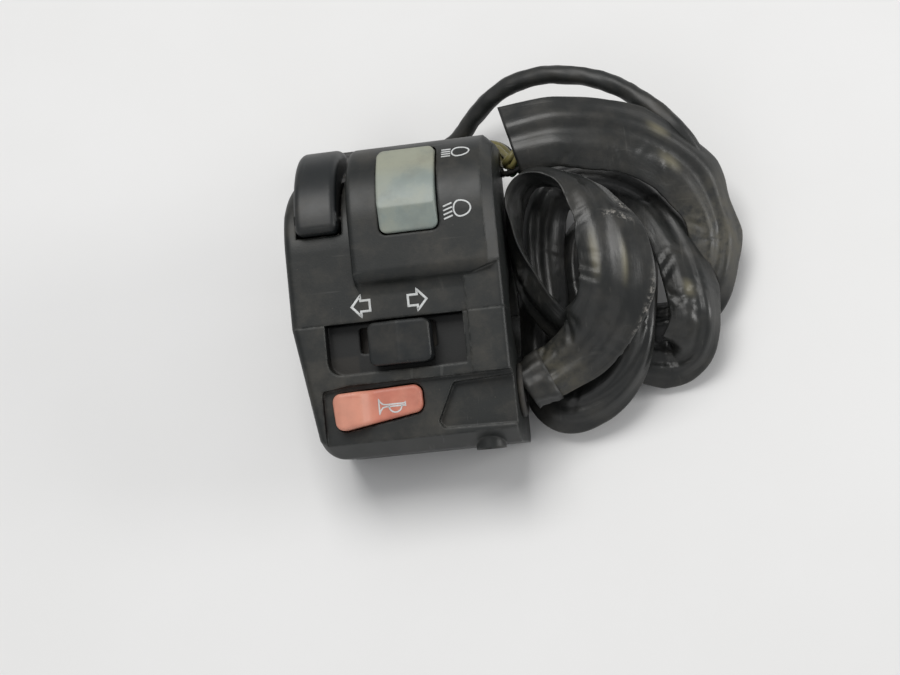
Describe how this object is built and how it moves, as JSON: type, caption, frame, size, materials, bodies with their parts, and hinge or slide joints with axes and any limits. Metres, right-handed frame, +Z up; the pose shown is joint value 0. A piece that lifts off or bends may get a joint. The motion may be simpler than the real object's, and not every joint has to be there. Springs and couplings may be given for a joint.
{
  "type": "motorcycle handlebar switch cluster",
  "caption": "Left hand switch housing for a 22 mm handlebar, with dimmer rocker, pass, turn signal and horn switches and a coiled harness.",
  "frame": {"origin": "on the handlebar's axis, in the middle of the clamp as the picture shows it, 18.5 mm above the table", "axes": "+Z up from the table, +X along the handlebar towards the middle of the bike, +Y away from the rider's side of the picture; the bar's open outer end faces -X"},
  "size_m": [0.121, 0.1083, 0.0549],
  "materials": {
    "case_plastic": "fine grained black moulding, worn and dusty",
    "button_plastic": "smooth black moulding, slightly shiny from use",
    "grey_plastic": "pale grey green moulding",
    "horn_plastic": "faded red moulding, salmon on top",
    "base_plastic": "brown black contact moulding",
    "screw_steel": "zinc plated, dull",
    "contact_brass": "stamped brass, slightly tarnished",
    "grommet_rubber": "soft black rubber",
    "sheath_vinyl": "dull black vinyl sleeve, scuffed and dusty",
    "wire_vinyl": "vinyl insulated wires",
    "connector_plastic": "off white nylon, dusty"
  },
  "bodies": {
    "housing": {"upper_case": "case_plastic", "lower_case": "case_plastic", "case_screws": "screw_steel", "dimmer_pivot_pin": "screw_steel", "dimmer_base": "base_plastic", "dimmer_base_screws": "screw_steel", "dimmer_terminals": "contact_brass", "pass_pivot_pin": "screw_steel", "pass_base": "base_plastic", "pass_base_screw": "screw_steel", "pass_spring": "screw_steel", "pass_contacts": "contact_brass", "turn_base": "base_plastic", "turn_base_screws": "screw_steel", "horn_base": "base_plastic", "horn_base_screws": "screw_steel", "horn_contacts": "contact_brass", "horn_spring": "screw_steel", "grommet": "grommet_rubber", "harness_core": "wire_vinyl", "harness_clip": "button_plastic", "clip_screw": "screw_steel", "harness_coil": "sheath_vinyl", "main_wires": "wire_vinyl", "branch_lead": "sheath_vinyl", "main_connector": "connector_plastic", "main_pins": "contact_brass", "branch_connector": "connector_plastic", "branch_pins": "contact_brass"},
    "dimmer": {"dimmer_button": "grey_plastic", "dimmer_ball": "screw_steel", "dimmer_spring": "screw_steel"},
    "pass": {"pass_button": "button_plastic"},
    "slider": {"turn_slider": "base_plastic", "turn_wiper": "contact_brass", "centring_spring": "screw_steel", "cancel_spring": "screw_steel"},
    "knob": {"turn_knob": "button_plastic"},
    "horn": {"horn_button": "horn_plastic", "horn_bridge": "contact_brass"}
  },
  "joints": [
    {"name": "dimmer_rock", "type": "hinge", "parent": "housing", "child": "dimmer", "pos_m": [0.00535, 0.02031, 0.02899], "axis": [-1, 0, 0], "range_deg": [0, 10]},
    {"name": "pass_press", "type": "hinge", "parent": "housing", "child": "pass", "pos_m": [-0.01785, 0.01842, 0.02628], "axis": [-1, 0, 0], "range_deg": [0, 6], "stiffness_Nm_per_rad": 0.15, "springref_deg": -5.73, "deforming": ["pass_spring"]},
    {"name": "turn_slide", "type": "slide", "parent": "housing", "child": "slider", "axis": [1, 0, 0], "range_m": [-0.0045, 0.0045], "stiffness_N_per_m": 400, "deforming": ["centring_spring"]},
    {"name": "turn_cancel", "type": "slide", "parent": "slider", "child": "knob", "axis": [0, 0.342, -0.9397], "range_m": [0, 0.0012], "stiffness_N_per_m": 1500, "springref_m": -0.0008, "deforming": ["cancel_spring"]},
    {"name": "horn_press", "type": "slide", "parent": "housing", "child": "horn", "axis": [0, 0.342, -0.9397], "range_m": [0, 0.002], "stiffness_N_per_m": 900, "springref_m": -0.001, "deforming": ["horn_spring"]}
  ]
}
